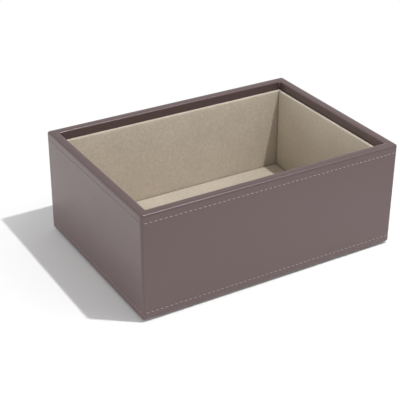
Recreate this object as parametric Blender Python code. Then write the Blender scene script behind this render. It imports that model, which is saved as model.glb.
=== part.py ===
"""Stacking accessory tray: boards under a leather cover, lined with velvet panels.

Four mitred wall boards and a bottom board carry one leather cover. The cover starts in a hem
under the boards, runs up the outside past two pressed seam lines, turns over the rim and goes
down the inside as a lip and a skirt. Velvet-wrapped cards line the walls and the floor. Their
top edges stop below the rim, so that the plinth of a like tray drops into the lip.

Metres, +Z up. +X runs along the length and the front faces -Y. The origin is in the middle of
the plinth's underside.
"""
import math

import bmesh
import bpy
from mathutils import Matrix, Vector

# Outer sizes, over the leather
LENGTH = 0.1800
DEPTH = 0.1268
BODY_HEIGHT = 0.0687
FOOT_HEIGHT = 0.0020

# Thickness of each layer
LEATHER = 0.0007
BOARD = 0.0040
BOTTOM_BOARD = 0.0030
VELVET = 0.0004
CARD = 0.0009

# Clearances: between glued pieces, between a card and its wrapping, and between stacked trays
SEAT = 0.0003
WRAP_FIT = 0.00025
STACK_CLEARANCE = 0.0005

# The leather cover
CORNER_RADIUS = 0.0025
INNER_CORNER = 0.0010
RIM_ARRIS = 0.0011
LIP_ARRIS = 0.0008
HEM_ARRIS = 0.0009
LEAST_FOLD = 0.0001
LIP_DEPTH = 0.0058
SKIRT_LAP = 0.0085
SEAM_FROM_RIM = 0.0055
SEAM_FROM_HEM = 0.0039
SEAM_WIDTH = 0.0012
SEAM_DEPTH = 0.0002

# The velvet-wrapped panels
SOFT_EDGE = 0.0009
PANEL_CORNER = 0.0012
LEAST_CORNER = 0.0002
TURN_IN = 0.0080

# Facets of a quarter circle
COVER_CORNER_STEPS = 6
COVER_FOLD_STEPS = 4
PANEL_STEPS = 3
SHARP_ANGLE = math.radians(40)

# Heights
RIM_TOP = FOOT_HEIGHT + BODY_HEIGHT
BOARD_FOOT = FOOT_HEIGHT + LEATHER + SEAT
BOARD_TOP = RIM_TOP - LEATHER - SEAT
BOTTOM_TOP = BOARD_FOOT + BOTTOM_BOARD
PANEL_FOOT = BOTTOM_TOP + SEAT
LINING_TOP = RIM_TOP - LIP_DEPTH
SKIRT_END = LINING_TOP - SKIRT_LAP

# Distances inward from the leather's outer face
BOARD_FACE = LEATHER + SEAT
BOARD_BACK = BOARD_FACE + BOARD
WALL = BOARD_BACK + SEAT + LEATHER
PANEL_BACK = WALL + SEAT
PANEL = CARD + 2 * (VELVET + WRAP_FIT)
PANEL_FACE = PANEL_BACK + PANEL
PANEL_STOP = PANEL_FACE + SEAT
PLINTH_INSET = WALL + STACK_CLEARANCE
HEM_END = PLINTH_INSET - SEAT

# Each wall: its turn about +Z, its outer face's distance from the middle, and half its run
WALLS = {
    "front": (0, DEPTH / 2, LENGTH / 2),
    "right": (90, LENGTH / 2, DEPTH / 2),
    "back": (180, DEPTH / 2, LENGTH / 2),
    "left": (270, LENGTH / 2, DEPTH / 2),
}


def clear_scene():
    for item in list(bpy.data.objects):
        bpy.data.objects.remove(item, do_unlink=True)


def linear(channel):
    """One sRGB channel, 0 to 1, as linear light."""
    if channel <= 0.04045:
        return channel / 12.92
    return ((channel + 0.055) / 1.055) ** 2.4


def make_material(name, colour, roughness):
    """A plain non-metal of an sRGB hex colour."""
    material = bpy.data.materials.new(name)
    material.use_nodes = True
    red, green, blue = (linear(int(colour[i:i + 2], 16) / 255) for i in (0, 2, 4))
    shader = material.node_tree.nodes["Principled BSDF"]
    shader.inputs["Base Color"].default_value = (red, green, blue, 1)
    shader.inputs["Roughness"].default_value = roughness
    shader.inputs["Metallic"].default_value = 0
    return material


def make_materials():
    return {
        "leather": make_material("taupe_faux_leather", "7B6B6A", 0.45),
        "board": make_material("fibreboard", "A98A66", 0.85),
        "card": make_material("grey_board", "8E8B85", 0.90),
        "velvet": make_material("beige_velvet", "B3A593", 0.95),
    }


def arc(centre_x, centre_y, radius, start, end, steps):
    """Points on a circle from one angle to another, both in degrees."""
    points = []
    for step in range(steps + 1):
        angle = math.radians(start + (end - start) * step / steps)
        points.append((centre_x + radius * math.cos(angle), centre_y + radius * math.sin(angle)))
    return points


def rounded_rectangle(half_x, half_y, radius, steps):
    """A rectangle's outline with round corners, anticlockwise from its +X +Y corner."""
    points = []
    for turn, (side_x, side_y) in enumerate(((1, 1), (-1, 1), (-1, -1), (1, -1))):
        start = 90 * turn
        centre_x = side_x * (half_x - radius)
        centre_y = side_y * (half_y - radius)
        points += arc(centre_x, centre_y, radius, start, start + 90, steps)
    return points


def bridge(mesh, ring, other):
    """Quads between two rings of as many points."""
    for index, vertex in enumerate(ring):
        following = (index + 1) % len(ring)
        mesh.faces.new((vertex, ring[following], other[following], other[index]))


def loft(outlines, endless):
    """A closed body through flat outlines, each a height and its points.

    An endless one joins its last outline to its first, and any other gets a flat end on both.
    """
    mesh = bmesh.new()
    rings = [[mesh.verts.new((x, y, z)) for x, y in points] for z, points in outlines]
    for ring, other in zip(rings, rings[1:]):
        bridge(mesh, ring, other)
    if endless:
        bridge(mesh, rings[-1], rings[0])
    else:
        mesh.faces.new(rings[0])
        mesh.faces.new(rings[-1])
    bmesh.ops.recalc_face_normals(mesh, faces=mesh.faces)
    return mesh


def prism(outline, height):
    """An outline in plan, drawn up to a height."""
    mesh = bmesh.new()
    base = mesh.faces.new([mesh.verts.new((x, y, 0)) for x, y in outline])
    raised = bmesh.ops.extrude_face_region(mesh, geom=[base])["geom"]
    corners = [item for item in raised if isinstance(item, bmesh.types.BMVert)]
    bmesh.ops.translate(mesh, verts=corners, vec=(0, 0, height))
    bmesh.ops.recalc_face_normals(mesh, faces=mesh.faces)
    return mesh


def add_piece(name, mesh, material, tray, location=(0, 0, 0), rotation=(0, 0, 0)):
    """Makes a piece from its mesh, placed on the tray; the rotation is in degrees."""
    data = bpy.data.meshes.new(name)
    mesh.to_mesh(data)
    mesh.free()
    data.materials.append(material)
    data.shade_smooth()
    data.set_sharp_from_angle(angle=SHARP_ANGLE)
    piece = bpy.data.objects.new(name, data)
    bpy.context.collection.objects.link(piece)
    piece.parent = tray
    piece.location = location
    piece.rotation_euler = [math.radians(angle) for angle in rotation]
    return piece


def seam_line(height):
    """The cover's face across one pressed seam line, as insets and heights going up."""
    half = SEAM_WIDTH / 2
    shoulder = SEAM_DEPTH * math.sin(math.radians(45))
    return [
        (0, height - half),
        (shoulder, height - half / 2),
        (SEAM_DEPTH, height),
        (shoulder, height + half / 2),
        (0, height + half),
    ]


def fold(inset, height, radius, start, end):
    """One fold of the cover's section. Insets count from the outer face, so +X is inward."""
    return arc(inset, height, max(radius, LEAST_FOLD), start, end, COVER_FOLD_STEPS)


def cover_section():
    """The cover cut across a wall: up its outside, over the rim, and back along its inside."""
    hem = FOOT_HEIGHT + HEM_ARRIS
    rim = RIM_TOP - RIM_ARRIS
    lip = RIM_TOP - LIP_ARRIS
    lip_inset = WALL - LIP_ARRIS
    outside = [(HEM_END, FOOT_HEIGHT)]
    outside += fold(HEM_ARRIS, hem, HEM_ARRIS, 270, 180)
    outside += seam_line(FOOT_HEIGHT + SEAM_FROM_HEM)
    outside += seam_line(RIM_TOP - SEAM_FROM_RIM)
    outside += fold(RIM_ARRIS, rim, RIM_ARRIS, 180, 90)
    outside += fold(lip_inset, lip, LIP_ARRIS, 90, 0)
    outside += [(WALL, SKIRT_END)]
    inside = [(WALL - LEATHER, SKIRT_END)]
    inside += fold(lip_inset, lip, LIP_ARRIS - LEATHER, 0, 90)
    inside += fold(RIM_ARRIS, rim, RIM_ARRIS - LEATHER, 90, 180)
    inside += fold(HEM_ARRIS, hem, HEM_ARRIS - LEATHER, 180, 270)
    inside += [(HEM_END, FOOT_HEIGHT + LEATHER)]
    return outside + inside


def make_cover(material, tray):
    """The leather cover, its section carried round the tray's rounded corners."""
    outlines = []
    for inset, height in cover_section():
        radius = max(CORNER_RADIUS - inset, INNER_CORNER)
        half_x = LENGTH / 2 - inset
        half_y = DEPTH / 2 - inset
        points = rounded_rectangle(half_x, half_y, radius, COVER_CORNER_STEPS)
        outlines.append((height, points))
    add_piece("leather_cover", loft(outlines, endless=True), material, tray)


def on_wall(turn, reach, inset, height):
    """The middle of a wall, at an inset from its outer face and a height."""
    return Matrix.Rotation(math.radians(turn), 3, "Z") @ Vector((0, inset - reach, height))


def mitred_outline(half_run):
    """A wall board in plan: its outer face on Y = 0, its ends rounded outside and mitred."""
    radius = CORNER_RADIUS - BOARD_FACE
    mitre_gap = SEAT / 2 * math.sqrt(2)
    end = half_run - BOARD_FACE - mitre_gap
    right = arc(end - radius, radius, radius, 270, 315, COVER_FOLD_STEPS)
    right.append((end - BOARD, BOARD))
    left = [(-x, y) for x, y in reversed(right)]
    return right + left


def make_wall_boards(material, tray):
    for side, (turn, reach, half_run) in WALLS.items():
        mesh = prism(mitred_outline(half_run), BOARD_TOP - BOARD_FOOT)
        location = on_wall(turn, reach, BOARD_FACE, BOARD_FOOT)
        add_piece(side + "_board", mesh, material, tray, location, (0, 0, turn))


def make_bottom_board(material, tray):
    inset = BOARD_BACK + SEAT
    outline = rounded_rectangle(LENGTH / 2 - inset, DEPTH / 2 - inset, LEAST_CORNER, PANEL_STEPS)
    add_piece("bottom_board", prism(outline, BOTTOM_BOARD), material, tray, (0, 0, BOARD_FOOT))


def panel_ring(width, height, inset, depth):
    """One outline of a panel, set in from its edges, at a depth behind its face."""
    radius = max(PANEL_CORNER - inset, LEAST_CORNER)
    points = rounded_rectangle(width / 2 - inset, height / 2 - inset, radius, PANEL_STEPS)
    return -depth, points


def wrapping_section(thickness):
    """A panel's velvet cut across one edge, as insets and depths.

    It runs from the face over the edge to the end of the turn-in, and back along the inside.
    """
    back_edge = INNER_CORNER - SEAT
    inner_edge = SOFT_EDGE - VELVET
    back = thickness - VELVET
    section = arc(SOFT_EDGE, SOFT_EDGE, SOFT_EDGE, 270, 180, PANEL_STEPS)
    section += arc(back_edge, thickness - back_edge, back_edge, 180, 90, PANEL_STEPS)
    section += [(TURN_IN, thickness), (TURN_IN, back), (VELVET, back)]
    section += arc(SOFT_EDGE, SOFT_EDGE, inner_edge, 180, 270, PANEL_STEPS)
    return section


def make_panel(name, width, height, thickness, materials, tray, location, rotation):
    """A card and the velvet wrapped round it, with its face on Z = 0 before it is placed."""
    wrapping = [panel_ring(width, height, *spot) for spot in wrapping_section(thickness)]
    velvet = loft(wrapping, endless=False)
    add_piece(name + "_velvet", velvet, materials["velvet"], tray, location, rotation)
    inset = VELVET + WRAP_FIT
    sheet = [panel_ring(width, height, inset, depth) for depth in (inset, thickness - inset)]
    card = loft(sheet, endless=False)
    add_piece(name + "_card", card, materials["card"], tray, location, rotation)


def make_wall_linings(materials, tray):
    """The front and back panels run the full length, and the side panels stand between them."""
    middle = (PANEL_FOOT + LINING_TOP) / 2
    height = LINING_TOP - PANEL_FOOT
    for side, (turn, reach, half_run) in WALLS.items():
        end = PANEL_BACK if side in ("front", "back") else PANEL_STOP
        location = on_wall(turn, reach, PANEL_FACE, middle)
        rotation = (90, 0, turn + 180)
        width = 2 * (half_run - end)
        make_panel(side + "_lining", width, height, PANEL, materials, tray, location, rotation)


def make_floor_lining(materials, tray):
    width = LENGTH - 2 * PANEL_STOP
    height = DEPTH - 2 * PANEL_STOP
    location = (0, 0, PANEL_FOOT + PANEL)
    make_panel("floor_lining", width, height, PANEL, materials, tray, location, (0, 0, 0))


def make_plinth(materials, tray):
    """The panel under the tray, face down, small enough to drop into the lip of a like tray."""
    width = LENGTH - 2 * PLINTH_INSET
    height = DEPTH - 2 * PLINTH_INSET
    thickness = BOARD_FOOT - SEAT
    make_panel("plinth", width, height, thickness, materials, tray, (0, 0, 0), (180, 0, 0))


def main():
    clear_scene()
    materials = make_materials()
    tray = bpy.data.objects.new("accessory_tray", None)
    bpy.context.collection.objects.link(tray)
    make_wall_boards(materials["board"], tray)
    make_bottom_board(materials["board"], tray)
    make_cover(materials["leather"], tray)
    make_wall_linings(materials, tray)
    make_floor_lining(materials, tray)
    make_plinth(materials, tray)


main()
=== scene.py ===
"""Looks of the stacking accessory tray: stitched faux leather outside, velvet inside.

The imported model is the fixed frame. The leather cover, its stitching and the velvet of each panel
are modelled here with Blender's own operators, round the boards and cards of the frame.
"""
import math

import bmesh
import bpy
from bpy.props import FloatProperty, FloatVectorProperty, PointerProperty
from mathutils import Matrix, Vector


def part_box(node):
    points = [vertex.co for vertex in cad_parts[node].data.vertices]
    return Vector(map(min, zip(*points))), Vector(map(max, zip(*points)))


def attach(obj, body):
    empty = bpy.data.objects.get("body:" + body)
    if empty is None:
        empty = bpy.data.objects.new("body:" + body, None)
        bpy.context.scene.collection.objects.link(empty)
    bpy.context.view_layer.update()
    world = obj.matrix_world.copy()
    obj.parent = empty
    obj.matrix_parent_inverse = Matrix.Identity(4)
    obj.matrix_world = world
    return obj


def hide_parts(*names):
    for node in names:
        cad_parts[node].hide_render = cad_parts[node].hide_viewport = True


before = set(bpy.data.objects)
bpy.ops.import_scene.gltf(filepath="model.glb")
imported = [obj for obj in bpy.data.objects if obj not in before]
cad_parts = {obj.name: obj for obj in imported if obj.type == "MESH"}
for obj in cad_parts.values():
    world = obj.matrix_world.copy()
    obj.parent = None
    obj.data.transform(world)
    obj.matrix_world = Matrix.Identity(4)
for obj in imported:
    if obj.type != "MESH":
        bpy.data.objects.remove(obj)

bl_info = {
    "name": "Leather accessory tray",
    "version": (1, 0, 0),
    "blender": (4, 5, 0),
    "location": "3D View > Sidebar > Tray",
    "description": "Dresses the packed accessory tray in stitched leather and velvet",
    "category": "Object",
}

BODY = "root"
SIDES = ("front", "right", "back", "left")
TURNS = {"front": 0, "right": 90, "back": 180, "left": 270}

# Two places closer than this are taken as one
TINY = 1e-5

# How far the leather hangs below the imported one, and the glue between the leather and a panel
HEM_DROP = 0.0004
GLUE_GAP = 0.0003

# Places read from the frame
COVER_LOW, COVER_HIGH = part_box("leather_cover")
COVER_LOW.z -= HEM_DROP
_, LINING_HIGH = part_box("back_lining_velvet")
_, PLINTH_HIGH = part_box("plinth_velvet")
HALF_X = COVER_HIGH.x
HALF_Y = COVER_HIGH.y
RIM_TOP = COVER_HIGH.z
HEM_FOOT = COVER_LOW.z
LINING_TOP = LINING_HIGH.z
WALL = COVER_HIGH.y - LINING_HIGH.y - GLUE_GAP
HEM_WIDTH = HALF_X - PLINTH_HIGH.x - GLUE_GAP

# Segments of the leather's rounded corners and folds, and of a velvet panel's two edges
CORNER_STEPS = 6
ARRIS_STEPS = 5
FACE_EDGE_STEPS = 4
BACK_EDGE_STEPS = 2

# Folds up to these angles, in degrees, are shaded smooth
LEATHER_SMOOTH = 35
SOFT_SMOOTH = 60

# The pressed seam line, from its middle out: a share of its width, and how deep it is there
SEAM_SECTION = ((0, 1.0), (0.25, 0.7), (0.5, 0), (0.75, 0), (1.1, 0))

# Columns of faces under a stitch; one within this share of a stitch of a hole is drawn in
COLUMNS_A_STITCH = 6
HOLE_REACH = 0.05

# A stitch from its middle to its end: a share of its half length, how far the thread has gone
# down, in half its height, and a share of its width
STITCH_SECTION = ((0.30, 0.04, 1.0), (0.62, 0.20, 0.95), (0.86, 0.60, 0.80), (1.0, 1.1, 0.55))
STITCH_FLATS = 8
STITCH_SLANT = 4

# Width of the squares that the velvet is cut into, so that its pile can be uneven
VELVET_GRID = 0.0022

# The axis that each velvet panel's face looks along, and which way
PANELS = {
    "front_lining": (1, 1),
    "right_lining": (0, -1),
    "back_lining": (1, -1),
    "left_lining": (0, 1),
    "floor_lining": (2, 1),
    "plinth": (2, -1),
}

# Bands on the leather along the rim's edges, and along the fold just below the outer edge, which is
# darkened as painted shade: how far from its line each band has faded out, and up to where it is
# full
EDGE_FADE = 0.0013
EDGE_FULL = 0.0006
FOLD_DEPTH = 0.00075
FOLD_FADE = 0.0008
FOLD_FULL = 0.0003

# Painted shade on the lip: how far out of the lip's face and how far down it begins and is full
LIP_FADE_OUT = 0.0006
LIP_FULL_OUT = 0.0002
LIP_FADE_DOWN = 0.0003
LIP_FULL_DOWN = 0.0010

# The camera's sensor, in millimetres
SENSOR_WIDTH = 36


def linear(colour):
    """An sRGB hex colour as linear light."""
    channels = [int(colour[i:i + 2], 16) / 255 for i in (0, 2, 4)]
    return tuple(c / 12.92 if c <= 0.04045 else ((c + 0.055) / 1.055) ** 2.4 for c in channels)


def length(name, description, default):
    return FloatProperty(
        name=name, description=description, default=default, min=0, precision=5, unit="LENGTH"
    )


def paint(name, description, default):
    return FloatVectorProperty(
        name=name, description=description, default=linear(default), size=3, min=0, max=1,
        subtype="COLOR",
    )


class TraySizes(bpy.types.PropertyGroup):
    """Sizes of the leather, the stitching and the velvet."""

    leather: length("Leather", "Thickness of the faux leather", 0.0007)
    corner_radius: length("Corner", "Radius of the upright outer corners", 0.0015)
    inner_corner: length("Inner corner", "Radius of the lip's upright corners", 0.0010)
    rim_arris: length("Rim arris", "Radius of the rim's outer edge", 0.0012)
    lip_arris: length("Lip arris", "Radius of the rim's inner edge", 0.0008)
    hem_arris: length("Hem arris", "Radius of the bottom edge", 0.0011)
    skirt_lap: length("Skirt lap", "How far the leather goes down behind the lining", 0.0085)
    seam_from_rim: length("Top seam", "Distance of the top seam below the rim", 0.0052)
    seam_from_hem: length("Bottom seam", "Distance of the bottom seam above the hem", 0.0047)
    seam_width: length("Seam width", "Width of the pressed seam line", 0.0012)
    seam_depth: length("Seam depth", "Depth of the pressed seam line", 0.00004)
    needle_depth: length("Needle depth", "How far each needle hole draws the leather in", 0.0003)
    stitch_pitch: length("Stitch pitch", "Distance from one stitch to the next", 0.00315)
    stitch_gap: length("Stitch gap", "Leather showing between two stitches", 0.0012)
    thread: length("Thread", "Width of the sewing thread", 0.00056)
    thread_height: length("Thread height", "Height of the thread, pulled flat", 0.0003)
    soft_edge: length("Soft edge", "Radius of the velvet over the edge of its card", 0.0009)
    back_edge: length("Back edge", "Radius of the velvet at the back of its card", 0.0005)
    pile_rise: length("Pile rise", "How far the pile stands above the wall panels", 0.0003)
    pile_wave: length("Pile wave", "Height of the velvet's unevenness", 0.00016)
    wave_width: length("Wave width", "Width of the velvet's uneven patches", 0.011)


class TrayColours(bpy.types.PropertyGroup):
    """Colours of the tray's materials."""

    leather: paint("Leather", "Colour of the faux leather", "5A4444")
    thread: paint("Thread", "Colour of the sewing thread", "9D8F90")
    velvet: paint("Velvet", "Colour of the velvet", "CCC1B1")
    fibreboard: paint("Fibreboard", "Colour of the boards", "A98A66")
    grey_board: paint("Grey board", "Colour of the cards", "8E8B85")
    floor: paint("Floor", "Colour of the floor", "FDFDFD")


class StageSettings(bpy.types.PropertyGroup):
    """The camera, the lamps and the light all round."""

    camera_place: FloatVectorProperty(
        name="Camera place", description="Where the camera stands", size=3, unit="LENGTH",
        subtype="TRANSLATION", default=(-0.3269, -0.5243, 0.3645),
    )
    camera_turn: FloatVectorProperty(
        name="Camera turn", description="How the camera is turned", size=3, subtype="EULER",
        default=[math.radians(angle) for angle in (61.295, -0.273, -30.627)],
    )
    lens: FloatProperty(
        name="Lens", description="Focal length on a 36 mm sensor, in millimetres", default=98.21
    )
    lamp_place: FloatVectorProperty(
        name="Lamp place", description="Where the lamp hangs", size=3, unit="LENGTH",
        subtype="TRANSLATION", default=(0.268, -0.336, 1.040),
    )
    lamp_size: length("Lamp size", "Width of the lamp", 0.033)
    lamp_power: FloatProperty(
        name="Lamp power", description="Power of the lamp", default=7.6, min=0, unit="POWER"
    )
    left_softbox_place: FloatVectorProperty(
        name="Left softbox place", description="Where the left softbox stands", size=3,
        unit="LENGTH", subtype="TRANSLATION", default=(-1.98, 0.50, 0.342),
    )
    left_softbox_power: FloatProperty(
        name="Left softbox power", description="Power of the left softbox", default=11.7, min=0,
        unit="POWER"
    )
    right_softbox_place: FloatVectorProperty(
        name="Right softbox place", description="Where the right softbox hangs", size=3,
        unit="LENGTH", subtype="TRANSLATION", default=(1.12, -0.72, 1.40),
    )
    right_softbox_power: FloatProperty(
        name="Right softbox power", description="Power of the right softbox", default=5.0, min=0,
        unit="POWER"
    )
    softbox_width: length("Softbox width", "Width of the softboxes", 1.50)
    softbox_height: length("Softbox height", "Height of the softboxes", 0.62)
    horizon_light: FloatProperty(
        name="Horizon light", description="Light from the low white walls all round", default=0.9,
        min=0
    )
    ceiling_light: FloatProperty(
        name="Ceiling light", description="Light from above", default=0.46, min=0
    )
    wall_top: FloatProperty(
        name="Wall top", description="Height of a direction, 1 being upright, where the walls end",
        default=0.15, min=0, max=1
    )
    ceiling_start: FloatProperty(
        name="Ceiling start", description="Height of a direction where the ceiling begins",
        default=0.45, min=0, max=1
    )
    floor_width: length("Floor width", "Width of the floor", 8.0)
    lit_reach: length("Lit reach", "How far out the floor is seen as it is lit", 0.115)
    white_reach: length("White reach", "From how far out the floor is seen as plain white", 0.24)
    near_white: FloatProperty(
        name="Near white", description="Share of plain white in the floor beside the tray",
        default=0.03, min=0, max=1
    )


def deselect():
    bpy.ops.object.select_all(action="DESELECT")


def open_for_edit(piece, kind):
    """Goes into edit mode on one piece, with nothing selected, to pick VERT, EDGE or FACE."""
    deselect()
    piece.select_set(True)
    bpy.context.view_layer.objects.active = piece
    bpy.ops.object.mode_set(mode="EDIT")
    bpy.ops.mesh.select_mode(type=kind)
    bpy.ops.mesh.select_all(action="DESELECT")


def close_edit():
    bpy.ops.object.mode_set(mode="OBJECT")


def pick(piece, kind, test):
    """Selects what passes the test, in edit mode, and drops the rest."""
    bpy.ops.mesh.select_mode(type=kind)
    bpy.ops.mesh.select_all(action="DESELECT")
    mesh = bmesh.from_edit_mesh(piece.data)
    mesh.normal_update()
    elements = {"VERT": mesh.verts, "EDGE": mesh.edges, "FACE": mesh.faces}[kind]
    chosen = [element for element in elements if test(element)]
    for element in chosen:
        element.select_set(True)
    mesh.select_flush_mode()
    bmesh.update_edit_mesh(piece.data)
    if not chosen:
        raise RuntimeError(f"nothing to select on {piece.name}")


def put_into_mesh():
    """Writes the active piece's place, turn and scale into its mesh."""
    bpy.ops.object.transform_apply(location=True, rotation=True, scale=True)


def add_block(name, low, high):
    """A block between two corners, with its place in its mesh."""
    deselect()
    bpy.ops.mesh.primitive_cube_add(size=1, location=(low + high) / 2, scale=high - low)
    put_into_mesh()
    piece = bpy.context.object
    piece.name = name
    piece.data.name = name
    return piece


def apply_modifier(piece, kind, **settings):
    """Adds a modifier to the active piece and applies it."""
    bpy.ops.object.modifier_add(type=kind)
    modifier = piece.modifiers[-1]
    for setting, value in settings.items():
        setattr(modifier, setting, value)
    bpy.ops.object.modifier_apply(modifier=modifier.name)


def dress(piece, material, slot, *nodes):
    """Gives a finished piece its material and its place in the frame."""
    piece.data.materials.clear()
    piece.data.materials.append(material)
    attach(piece, BODY)
    if nodes:
        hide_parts(*nodes)


def is_upright(edge):
    first, second = edge.verts
    return (first.co.xy - second.co.xy).length < TINY


def is_level_face(face):
    return abs(face.normal.z) > 0.9


def is_wall_face(face):
    return abs(face.normal.z) < 0.1


def runs_along(edge, axis, least=TINY):
    """Whether an edge is parallel to an axis, and of some length."""
    step = edge.verts[0].co - edge.verts[1].co
    others = [abs(step[i]) for i in range(3) if i != axis]
    return abs(step[axis]) > least and max(others) < TINY


def inset(point):
    """How far a point lies inward from the leather's outer face."""
    return min(HALF_X - abs(point.x), HALF_Y - abs(point.y))


def faces_out(element, point):
    """Whether a vertex or face is on the outer side of the cover's outer walls."""
    return element.normal.xy.dot(point.xy) > 0 and inset(point) < WALL / 2


def add_open_box(name, low, high, radius, steps):
    """A box without top or bottom, its upright corners rounded."""
    piece = add_block(name, low, high)
    open_for_edit(piece, "EDGE")
    pick(piece, "EDGE", is_upright)
    bpy.ops.mesh.bevel(offset=radius, segments=steps, affect="EDGES")
    pick(piece, "FACE", is_level_face)
    bpy.ops.mesh.delete(type="FACE")
    close_edit()
    return piece


def join_lip(cover, sizes):
    """Joins the lip and skirt to the outer walls by the flat of the rim.

    The lip is made a little low and lifted afterwards, so that the bridge finds its way round.
    """
    low = Vector((WALL - HALF_X, WALL - HALF_Y, LINING_TOP - sizes.skirt_lap))
    lip_top = RIM_TOP - sizes.rim_arris
    lip = add_open_box(
        "lip", low, Vector((HALF_X - WALL, HALF_Y - WALL, lip_top)), sizes.inner_corner,
        CORNER_STEPS,
    )
    cover.select_set(True)
    lip.select_set(True)
    bpy.context.view_layer.objects.active = cover
    bpy.ops.object.join()
    open_for_edit(cover, "EDGE")

    def on_top(edge):
        return all(
            abs(v.co.z - (RIM_TOP if inset(v.co) < WALL / 2 else lip_top)) < TINY
            for v in edge.verts
        )
    pick(cover, "EDGE", on_top)
    bpy.ops.mesh.bridge_edge_loops()
    pick(cover, "VERT", lambda v: abs(v.co.z - lip_top) < TINY)
    bpy.ops.transform.translate(value=(0, 0, RIM_TOP - lip_top))


def turn_hem(cover):
    """Draws the bottom edge in under the boards."""
    pick(cover, "EDGE", lambda edge: all(abs(v.co.z - HEM_FOOT) < TINY for v in edge.verts))
    bpy.ops.mesh.extrude_edges_move()
    shrink = (1 - HEM_WIDTH / HALF_X, 1 - HEM_WIDTH / HALF_Y, 1)
    bpy.ops.transform.resize(value=shrink, center_override=(0, 0, HEM_FOOT))


def round_loop(cover, height, outer, radius):
    """Rounds one level edge of the cover, on its outer or its inner side."""
    def on_loop(edge):
        return all(
            abs(v.co.z - height) < TINY and (inset(v.co) < WALL / 2) == outer
            for v in edge.verts
        )
    pick(cover, "EDGE", on_loop)
    bpy.ops.mesh.bevel(offset=radius, segments=ARRIS_STEPS, affect="EDGES")


def cut_rows(cover, heights):
    """Cuts level rows into the outer faces, for the seams to be pressed into."""
    def on_outer_wall(face):
        return is_wall_face(face) and faces_out(face, face.calc_center_median())

    for height in heights:
        pick(cover, "FACE", on_outer_wall)
        bpy.ops.mesh.bisect(plane_co=(0, 0, height), plane_no=(0, 0, 1))


def cut_columns(cover, axis, stitches):
    """Cuts a wall's run into stitches, and each stitch into columns.

    The edges of the rounded corners are shorter than a stitch, and stay whole.
    """
    across = 1 - axis
    beside_wall = (HALF_X, HALF_Y)[across] - 2 * WALL
    shortest = WALL / 4

    def on_run(edge):
        return runs_along(edge, axis, shortest) and all(
            abs(v.co[across]) > beside_wall for v in edge.verts)

    for parts in (stitches, COLUMNS_A_STITCH):
        pick(cover, "EDGE", on_run)
        bpy.ops.mesh.subdivide(number_cuts=parts - 1)


def seam_heights(sizes):
    return (RIM_TOP - sizes.seam_from_rim, HEM_FOOT + sizes.seam_from_hem)


def stitch_count(run, sizes):
    return round(run / sizes.stitch_pitch)


def wall_runs(sizes):
    """The straight run of the front and back, and of the sides, between the rounded corners."""
    return 2 * (HALF_X - sizes.corner_radius), 2 * (HALF_Y - sizes.corner_radius)


def press_seams(cover, sizes):
    """Presses each seam line in, and draws it in further at each needle hole."""
    run_x, run_y = wall_runs(sizes)
    pitch_x = run_x / stitch_count(run_x, sizes)
    pitch_y = run_y / stitch_count(run_y, sizes)

    def at_hole(point):
        along, run, pitch = point.x, run_x, pitch_x
        if HALF_X - abs(point.x) < HALF_Y - abs(point.y):
            along, run, pitch = point.y, run_y, pitch_y
        steps = (along + run / 2) / pitch
        return abs(along) < run / 2 + TINY and abs(steps - round(steps)) < HOLE_REACH

    for height in seam_heights(sizes):
        for share, depth in SEAM_SECTION:
            if not depth:
                continue
            pick(cover, "VERT", lambda v: faces_out(v, v.co) and abs(
                abs(v.co.z - height) - share * sizes.seam_width) < TINY)
            bpy.ops.transform.shrink_fatten(value=-depth * sizes.seam_depth)
        pick(cover, "VERT", lambda v: faces_out(v, v.co) and abs(
            v.co.z - height) < TINY and at_hole(v.co))
        bpy.ops.transform.shrink_fatten(value=-sizes.needle_depth)


def outer_walls_face_out(cover):
    mesh = bmesh.from_edit_mesh(cover.data)
    walls = [
        face for face in mesh.faces
        if is_wall_face(face) and inset(face.calc_center_median()) < TINY
    ]
    return all(face.normal.xy.dot(face.calc_center_median().xy) > 0 for face in walls)


def model_cover(sizes):
    """The leather: outer walls, rim, lip and skirt as one skin of even thickness."""
    cover = add_open_box(
        "leather_wrap", COVER_LOW, COVER_HIGH, sizes.corner_radius, CORNER_STEPS
    )
    join_lip(cover, sizes)
    turn_hem(cover)
    bpy.ops.mesh.select_all(action="SELECT")
    bpy.ops.mesh.normals_make_consistent(inside=False)
    if not outer_walls_face_out(cover):
        bpy.ops.mesh.flip_normals()
    round_loop(cover, RIM_TOP, True, sizes.rim_arris)
    round_loop(cover, RIM_TOP, False, sizes.lip_arris)
    round_loop(cover, HEM_FOOT, True, sizes.hem_arris)
    close_edit()
    apply_modifier(
        cover, "SOLIDIFY", thickness=sizes.leather, offset=-1, use_even_offset=True
    )
    open_for_edit(cover, "FACE")
    rows = set()
    for height in seam_heights(sizes):
        for share, _ in SEAM_SECTION:
            rows.add(height + share * sizes.seam_width)
            rows.add(height - share * sizes.seam_width)
    cut_rows(cover, sorted(rows))
    run_x, run_y = wall_runs(sizes)
    cut_columns(cover, 0, stitch_count(run_x, sizes))
    cut_columns(cover, 1, stitch_count(run_y, sizes))
    press_seams(cover, sizes)
    close_edit()
    bpy.ops.object.shade_smooth_by_angle(angle=math.radians(LEATHER_SMOOTH))
    return cover


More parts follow.
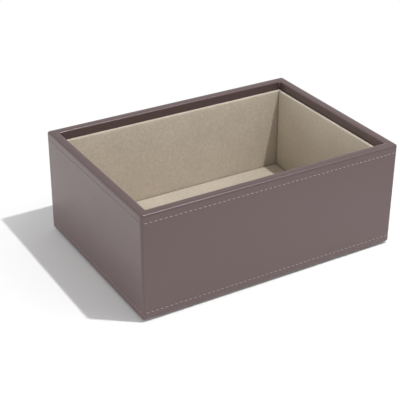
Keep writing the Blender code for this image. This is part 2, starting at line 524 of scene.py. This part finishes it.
def model_stitch(pitch, sizes):
    """One stitch along X, raised to +Z, its ends diving into the needle holes."""
    deselect()
    half = (pitch - sizes.stitch_gap) / 2
    bpy.ops.mesh.primitive_cylinder_add(
        vertices=STITCH_FLATS, radius=sizes.thread / 2, depth=2 * half,
        rotation=(0, math.radians(90), 0)
    )
    put_into_mesh()
    stitch = bpy.context.object
    stitch.scale.z = sizes.thread_height / sizes.thread
    put_into_mesh()
    open_for_edit(stitch, "FACE")
    for share, _, _ in STITCH_SECTION[:-1]:
        for side in (-1, 1):
            bpy.ops.mesh.select_all(action="SELECT")
            bpy.ops.mesh.bisect(plane_co=(side * share * half, 0, 0), plane_no=(1, 0, 0))
    for share, drop, width in STITCH_SECTION:
        for side in (-1, 1):
            spot = side * share * half
            pick(stitch, "VERT", lambda v: abs(v.co.x - spot) < TINY)
            bpy.ops.transform.resize(value=(1, width, width), center_override=(spot, 0, 0))
            bpy.ops.transform.translate(value=(0, 0, -drop * sizes.thread_height / 2))
    bpy.ops.mesh.select_all(action="SELECT")
    bpy.ops.transform.rotate(
        value=math.radians(STITCH_SLANT), orient_axis="Z", center_override=(0, 0, 0)
    )
    close_edit()
    return stitch


def model_row(name, side, height, sizes):
    """A row of stitches along one side, at a height."""
    run = wall_runs(sizes)[SIDES.index(side) % 2]
    reach = HALF_Y if side in ("front", "back") else HALF_X
    count = stitch_count(run, sizes)
    pitch = run / count
    row = model_stitch(pitch, sizes)
    row.name = name
    row.data.name = name
    apply_modifier(
        row, "ARRAY", count=count, use_relative_offset=False, use_constant_offset=True,
        constant_offset_displace=(pitch, 0, 0),
    )
    row.location = ((pitch - run) / 2, 0, 0)
    put_into_mesh()
    row.rotation_euler = (math.radians(90), 0, 0)
    put_into_mesh()
    lift = sizes.thread_height / 2 - sizes.seam_depth
    row.location = (0, -reach - lift, height)
    put_into_mesh()
    row.rotation_euler = (0, 0, math.radians(TURNS[side]))
    put_into_mesh()
    bpy.ops.object.shade_smooth_by_angle(angle=math.radians(SOFT_SMOOTH))
    return row


def uneven_pile(sizes):
    """Soft patches in which the pile stands higher or lower."""
    wave = bpy.data.textures.new("pile_wave", "CLOUDS")
    wave.noise_scale = sizes.wave_width
    wave.noise_depth = 2
    return wave


def model_velvet(node, name, axis, sign, sizes, wave):
    """The velvet round one card; its face looks along an axis, one way or the other."""
    low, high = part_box(node)
    on_a_wall = axis != 2
    if on_a_wall:
        high.z += sizes.pile_rise
    piece = add_block(name, low, high)
    face_place = high[axis] if sign > 0 else low[axis]
    back_place = low[axis] if sign > 0 else high[axis]
    open_for_edit(piece, "EDGE")
    for place, radius, steps in (
        (face_place, sizes.soft_edge, FACE_EDGE_STEPS),
        (back_place, sizes.back_edge, BACK_EDGE_STEPS),
    ):
        pick(piece, "EDGE", lambda edge: all(abs(v.co[axis] - place) < TINY for v in edge.verts))
        bpy.ops.mesh.bevel(offset=radius, segments=steps, affect="EDGES")
    for other in range(3):
        if other == axis:
            continue
        pick(piece, "EDGE", lambda edge: runs_along(edge, other))
        cuts = round((high[other] - low[other]) / VELVET_GRID)
        bpy.ops.mesh.subdivide(number_cuts=cuts)
    close_edit()
    apply_modifier(
        piece, "DISPLACE", texture=wave, texture_coords="LOCAL", mid_level=1.0,
        strength=sizes.pile_wave,
    )
    bpy.ops.object.shade_smooth_by_angle(angle=math.radians(SOFT_SMOOTH))
    return piece


def add_node(tree, kind, inputs=None, **settings):
    """Adds a node with its settings; an input is a number, a colour or another node's output."""
    node = tree.nodes.new(kind)
    for setting, value in settings.items():
        setattr(node, setting, value)
    for socket, value in (inputs or {}).items():
        if isinstance(value, bpy.types.NodeSocket):
            tree.links.new(value, node.inputs[socket])
        else:
            node.inputs[socket].default_value = value
    return node


def new_material(name, roughness):
    """A new material, with its node tree and its shader."""
    material = bpy.data.materials.new(name)
    material.use_nodes = True
    tree = material.node_tree
    shader = tree.nodes["Principled BSDF"]
    shader.inputs["Roughness"].default_value = roughness
    return material, tree, shader


def shade(colour, factor):
    return (*(channel * factor for channel in colour), 1)


def per_metre(millimetres):
    """A texture's scale for a pattern of a real size."""
    return 1000 / millimetres


def object_place(tree):
    """The place on a piece, in metres from the middle of the tray's foot."""
    return add_node(tree, "ShaderNodeTexCoord").outputs["Object"]


def ramp(tree, value, low, high, at_low=0.0, at_high=1.0, course="LINEAR"):
    """One number up to a low value and another from a high one on, with a slope between."""
    return add_node(tree, "ShaderNodeMapRange", {
        "Value": value, "From Min": low, "From Max": high, "To Min": at_low, "To Max": at_high,
    }, interpolation_type=course).outputs["Result"]


def blend(tree, factor, first, second, kind="RGBA"):
    """The first colour or number where the factor is 0, and the second where it is 1."""
    return add_node(tree, "ShaderNodeMix", {
        "Factor": factor, "A": first, "B": second}, data_type=kind).outputs["Result"]


def reckon(tree, operation, first, second):
    return add_node(tree, "ShaderNodeMath", {
        0: first, 1: second}, operation=operation).outputs["Value"]


def edges_and_painted_shade(tree, place):
    """Masks on the cover: the rim's two edges, and the fold below the outer one and the lip, which
    carry painted shade.
    """
    sides = add_node(tree, "ShaderNodeVectorMath", {0: place}, operation="ABSOLUTE")
    parts = add_node(tree, "ShaderNodeSeparateXYZ", {"Vector": sides.outputs["Vector"]})
    from_end = reckon(tree, "SUBTRACT", HALF_X, parts.outputs["X"])
    from_side = reckon(tree, "SUBTRACT", HALF_Y, parts.outputs["Y"])
    inward = reckon(tree, "MINIMUM", from_end, from_side)
    down = reckon(tree, "SUBTRACT", RIM_TOP, parts.outputs["Z"])
    from_inside = reckon(tree, "SUBTRACT", WALL, inward)
    below = reckon(tree, "SUBTRACT", down, FOLD_DEPTH)
    bands = []
    for across, depth, fade, full in (
        (inward, down, EDGE_FADE, EDGE_FULL),
        (from_inside, down, EDGE_FADE, EDGE_FULL),
        (inward, below, FOLD_FADE, FOLD_FULL),
    ):
        corner = add_node(tree, "ShaderNodeCombineXYZ", {"X": across, "Y": depth})
        away = add_node(tree, "ShaderNodeVectorMath", {
            0: corner.outputs["Vector"]}, operation="LENGTH").outputs["Value"]
        bands.append(ramp(tree, away, fade, full))
    lip = reckon(
        tree, "MULTIPLY", ramp(tree, inward, WALL - LIP_FADE_OUT, WALL - LIP_FULL_OUT),
        ramp(tree, down, LIP_FADE_DOWN, LIP_FULL_DOWN))
    return *bands, lip


def faux_leather(colour):
    """Polyurethane-coated faux leather, embossed with a fine grain and satin matt.

    The eye sees an even taupe, a soft shine on the folds and, close by, small flat pebbles. The
    fold under the rim's outer edge and the lip are darkened as painted shade.
    """
    material, tree, shader = new_material("taupe_faux_leather", 0.52)
    shader.inputs["IOR"].default_value = 1.5
    shader.inputs["Coat Weight"].default_value = 0.6
    shader.inputs["Coat Roughness"].default_value = 0.33
    shader.inputs["Coat IOR"].default_value = 1.5
    place = object_place(tree)
    sway = add_node(tree, "ShaderNodeTexNoise", {
        "Vector": place, "Scale": per_metre(1.6), "Detail": 2.0})
    bent = blend(tree, 0.0006, place, sway.outputs["Color"], "VECTOR")
    # Pebbles about 0.8 mm wide, twice the real grain, so that they show from close by
    pebbles = add_node(tree, "ShaderNodeTexVoronoi", {
        "Vector": bent, "Scale": per_metre(0.8)}, feature="DISTANCE_TO_EDGE")
    flats = ramp(tree, pebbles.outputs["Distance"], 0.0, 0.16)
    pores = add_node(tree, "ShaderNodeTexNoise", {
        "Vector": place, "Scale": per_metre(0.3), "Detail": 3.0})
    clouding = add_node(tree, "ShaderNodeTexNoise", {
        "Vector": place, "Scale": per_metre(22), "Detail": 3.0})
    tone = ramp(tree, clouding.outputs["Fac"], 0.3, 0.7)
    body = blend(tree, tone, shade(colour, 0.96), shade(colour, 1.04))
    grained = blend(tree, flats, shade(colour, 0.92), body)
    outer_edge, inner_edge, fold, lip = edges_and_painted_shade(tree, place)
    # Painted shade: the fold just below the rim's outer edge and the lip inside the rim are
    # darkened for the shade that falls there
    painted_shade = shade(colour, 0.68)
    with_lip_shade = blend(tree, lip, grained, painted_shade)
    with_fold_shade = blend(tree, fold, with_lip_shade, painted_shade)
    tree.links.new(with_fold_shade, shader.inputs["Base Color"])
    polish = ramp(tree, clouding.outputs["Fac"], 0.3, 0.7, 0.48, 0.55)
    rubbed = blend(tree, outer_edge, polish, 0.38, "FLOAT")
    pressed = blend(tree, inner_edge, rubbed, 0.28, "FLOAT")
    tree.links.new(pressed, shader.inputs["Roughness"])
    grain = add_node(tree, "ShaderNodeBump", {
        "Height": flats, "Strength": 0.25, "Distance": 0.00006})
    fine = add_node(tree, "ShaderNodeBump", {
        "Height": pores.outputs["Fac"], "Strength": 0.15, "Distance": 0.00004,
        "Normal": grain.outputs["Normal"]})
    tree.links.new(fine.outputs["Normal"], shader.inputs["Normal"])
    return material


def sewing_thread(colour):
    """Bonded polyester thread: round, pale and twisted, with a slight shine along its plies."""
    material, tree, shader = new_material("pale_taupe_thread", 0.55)
    place = object_place(tree)
    plies = add_node(tree, "ShaderNodeTexWave", {
        "Vector": place, "Scale": per_metre(2.4), "Distortion": 1.0},
        wave_type="BANDS", bands_direction="DIAGONAL")
    tint = blend(tree, plies.outputs["Fac"], shade(colour, 0.8), shade(colour, 1.08))
    tree.links.new(tint, shader.inputs["Base Color"])
    twist = add_node(tree, "ShaderNodeBump", {
        "Height": plies.outputs["Fac"], "Strength": 0.4, "Distance": 0.00008})
    tree.links.new(twist.outputs["Normal"], shader.inputs["Normal"])
    return material


def velvet_pile(colour):
    """Short-pile velvet glued over card: dull face on, pale where it is seen along the pile.

    The pile leans one way or another in soft patches, which show as lighter and darker clouds.
    """
    material, tree, shader = new_material("beige_velvet", 0.95)
    shader.inputs["Specular IOR Level"].default_value = 0.15
    shader.inputs["Sheen Weight"].default_value = 0.35
    shader.inputs["Sheen Roughness"].default_value = 0.45
    place = object_place(tree)
    lean = add_node(tree, "ShaderNodeTexNoise", {
        "Vector": place, "Scale": per_metre(17), "Detail": 2.0, "Roughness": 0.45})
    brushed = ramp(tree, lean.outputs["Fac"], 0.35, 0.65)
    patch = blend(tree, brushed, shade(colour, 0.97), shade(colour, 1.03))
    # Tufts about 1.6 mm wide, several times the real ones, so that they show at all
    fibres = add_node(tree, "ShaderNodeTexNoise", {
        "Vector": place, "Scale": per_metre(1.6), "Detail": 5.0, "Roughness": 0.7})
    speck = ramp(tree, fibres.outputs["Fac"], 0.3, 0.7, 0.0, 0.75)
    pile = blend(tree, speck, patch, shade(colour, 0.7))
    tree.links.new(pile, shader.inputs["Base Color"])
    nap = add_node(tree, "ShaderNodeBump", {
        "Height": fibres.outputs["Fac"], "Strength": 0.5, "Distance": 0.0001})
    tree.links.new(nap.outputs["Normal"], shader.inputs["Normal"])
    return material


def fibreboard(colour):
    """Pressed wood fibre, raw: dull and brown, with short darker and lighter fibres."""
    material, tree, shader = new_material("raw_fibreboard", 0.85)
    place = object_place(tree)
    fibres = add_node(tree, "ShaderNodeTexNoise", {
        "Vector": place, "Scale": per_metre(0.7), "Detail": 5.0, "Distortion": 1.5})
    tint = blend(tree, fibres.outputs["Fac"], shade(colour, 0.75), shade(colour, 1.15))
    tree.links.new(tint, shader.inputs["Base Color"])
    relief = add_node(tree, "ShaderNodeBump", {
        "Height": fibres.outputs["Fac"], "Strength": 0.3, "Distance": 0.00005})
    tree.links.new(relief.outputs["Normal"], shader.inputs["Normal"])
    return material


def grey_board(colour):
    """Recycled grey card: dull, flecked with paler and darker paper."""
    material, tree, shader = new_material("grey_card", 0.9)
    place = object_place(tree)
    flecks = add_node(tree, "ShaderNodeTexVoronoi", {
        "Vector": place, "Scale": per_metre(0.9)})
    tint = blend(tree, flecks.outputs["Distance"], shade(colour, 0.88), shade(colour, 1.1))
    tree.links.new(tint, shader.inputs["Base Color"])
    return material


def pale_floor(colour, settings):
    """A matt white studio floor, which away from the tray is seen as plain white."""
    material, tree, shader = new_material("pale_floor", 0.9)
    shader.inputs["Base Color"].default_value = (*colour, 1)
    shader.inputs["Specular IOR Level"].default_value = 0.0
    rays = add_node(tree, "ShaderNodeLightPath").outputs
    seen_or_mirrored = reckon(
        tree, "MAXIMUM", rays["Is Camera Ray"], rays["Is Glossy Ray"])
    seen = reckon(tree, "MAXIMUM", seen_or_mirrored, rays["Is Transmission Ray"])
    distance = add_node(
        tree, "ShaderNodeVectorMath", {0: object_place(tree)}, operation="LENGTH"
    ).outputs["Value"]
    away = ramp(
        tree, distance, settings.lit_reach, settings.white_reach, settings.near_white, 1.0,
        "SMOOTHSTEP"
    )
    share = reckon(tree, "MULTIPLY", seen, away)
    white = add_node(tree, "ShaderNodeEmission", {"Color": (1, 1, 1, 1), "Strength": 1.0})
    mix = add_node(tree, "ShaderNodeMixShader", {
        0: share, 1: shader.outputs["BSDF"], 2: white.outputs["Emission"]})
    tree.links.new(mix.outputs["Shader"], tree.nodes["Material Output"].inputs["Surface"])
    return material


class TRAY_OT_leather_cover(bpy.types.Operator):
    """Model the leather cover with its pressed seams"""

    bl_idname = "tray.leather_cover"
    bl_label = "Leather Cover"

    def execute(self, context):
        cover = model_cover(context.scene.tray_sizes)
        material = faux_leather(context.scene.tray_colours.leather)
        dress(cover, material, "leather", "leather_cover")
        return {"FINISHED"}


class TRAY_OT_stitching(bpy.types.Operator):
    """Sew the top and the bottom row of stitches on each side"""

    bl_idname = "tray.stitching"
    bl_label = "Stitching"

    def execute(self, context):
        sizes = context.scene.tray_sizes
        thread = sewing_thread(context.scene.tray_colours.thread)
        for side in SIDES:
            for level, height in zip(("top", "bottom"), seam_heights(sizes)):
                row = model_row(f"{side}_{level}_stitching", side, height, sizes)
                dress(row, thread, "thread")
        return {"FINISHED"}


class TRAY_OT_velvet_panels(bpy.types.Operator):
    """Wrap the cards of the lining and the plinth in velvet"""

    bl_idname = "tray.velvet_panels"
    bl_label = "Velvet Panels"

    def execute(self, context):
        sizes = context.scene.tray_sizes
        wave = uneven_pile(sizes)
        velvet = velvet_pile(context.scene.tray_colours.velvet)
        for panel, (axis, sign) in PANELS.items():
            node = panel + "_velvet"
            piece = model_velvet(node, panel + "_pile", axis, sign, sizes, wave)
            dress(piece, velvet, "velvet", node)
        return {"FINISHED"}


class TRAY_OT_boards_and_cards(bpy.types.Operator):
    """Finish the boards and cards that the leather and the velvet hide"""

    bl_idname = "tray.boards_and_cards"
    bl_label = "Boards and Cards"

    def execute(self, context):
        colours = context.scene.tray_colours
        board = fibreboard(colours.fibreboard)
        card = grey_board(colours.grey_board)
        for name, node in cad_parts.items():
            if name.endswith("_board"):
                node.material_slots[0].material = board
            if name.endswith("_card"):
                node.material_slots[0].material = card
        return {"FINISHED"}


class TRAY_OT_stage(bpy.types.Operator):
    """Lay the floor, hang the lamps and stand the camera"""

    bl_idname = "tray.stage"
    bl_label = "Stage"

    def execute(self, context):
        scene = context.scene
        settings = scene.tray_stage
        lay_floor(settings, scene.tray_colours)
        hang_lamps(settings)
        light_all_round(scene, settings)
        stand_camera(scene, settings)
        scene.view_settings.view_transform = "Standard"
        return {"FINISHED"}


def lay_floor(settings, colours):
    deselect()
    bpy.ops.mesh.primitive_plane_add(size=settings.floor_width, location=(0, 0, 0))
    floor = bpy.context.object
    floor.name = "studio_floor"
    floor.data.materials.append(pale_floor(colours.floor, settings))


def add_lamp(name, place, power, shape, size, height=0):
    """A lamp turned to the middle of the tray; a height is only for a rectangle."""
    deselect()
    bpy.ops.object.light_add(type="AREA", location=place)
    lamp = bpy.context.object
    lamp.name = name
    lamp.data.shape = shape
    lamp.data.size = size
    if height:
        lamp.data.size_y = height
    lamp.data.energy = power
    lamp.rotation_euler = place.to_track_quat("Z", "Y").to_euler()


def hang_lamps(settings):
    """A small lamp up to the front right, and a softbox on each side."""
    add_lamp(
        "studio_lamp", settings.lamp_place, settings.lamp_power, "DISK", settings.lamp_size
    )
    for side in ("left_softbox", "right_softbox"):
        add_lamp(
            side, getattr(settings, side + "_place"), getattr(settings, side + "_power"),
            "RECTANGLE", settings.softbox_width, settings.softbox_height,
        )


def light_all_round(scene, settings):
    """White walls low down all round, and a dimmer ceiling."""
    world = bpy.data.worlds.new("white_room")
    scene.world = world
    world.use_nodes = True
    tree = world.node_tree
    background = tree.nodes["Background"]
    background.inputs["Color"].default_value = (1, 1, 1, 1)
    direction = add_node(tree, "ShaderNodeTexCoord").outputs["Generated"]
    height = add_node(tree, "ShaderNodeSeparateXYZ", {"Vector": direction}).outputs["Z"]
    strength = ramp(
        tree, height, settings.wall_top, settings.ceiling_start, settings.horizon_light,
        settings.ceiling_light, "SMOOTHSTEP"
    )
    tree.links.new(strength, background.inputs["Strength"])


def stand_camera(scene, settings):
    deselect()
    bpy.ops.object.camera_add(location=settings.camera_place, rotation=settings.camera_turn)
    camera = bpy.context.object
    camera.name = "studio_camera"
    camera.data.lens = settings.lens
    camera.data.sensor_width = SENSOR_WIDTH
    scene.camera = camera


OPERATORS = (
    TRAY_OT_leather_cover,
    TRAY_OT_stitching,
    TRAY_OT_velvet_panels,
    TRAY_OT_boards_and_cards,
    TRAY_OT_stage,
)


class TRAY_PT_sidebar(bpy.types.Panel):
    """Lists the pieces of the tray"""

    bl_label = "Accessory Tray"
    bl_idname = "TRAY_PT_sidebar"
    bl_space_type = "VIEW_3D"
    bl_region_type = "UI"
    bl_category = "Tray"

    def draw(self, context):
        for operator in OPERATORS:
            self.layout.operator(operator.bl_idname)
        for group in ("tray_sizes", "tray_colours", "tray_stage"):
            settings = getattr(context.scene, group)
            for name in settings.__annotations__:
                self.layout.prop(settings, name)


CLASSES = (TraySizes, TrayColours, StageSettings, *OPERATORS, TRAY_PT_sidebar)


def register():
    for item in CLASSES:
        bpy.utils.register_class(item)
    bpy.types.Scene.tray_sizes = PointerProperty(type=TraySizes)
    bpy.types.Scene.tray_colours = PointerProperty(type=TrayColours)
    bpy.types.Scene.tray_stage = PointerProperty(type=StageSettings)


def unregister():
    del bpy.types.Scene.tray_stage
    del bpy.types.Scene.tray_colours
    del bpy.types.Scene.tray_sizes
    for item in reversed(CLASSES):
        bpy.utils.unregister_class(item)


def main():
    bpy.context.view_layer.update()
    register()
    bpy.ops.tray.leather_cover()
    bpy.ops.tray.stitching()
    bpy.ops.tray.velvet_panels()
    bpy.ops.tray.boards_and_cards()
    bpy.ops.tray.stage()


if __name__ == "__main__":
    main()
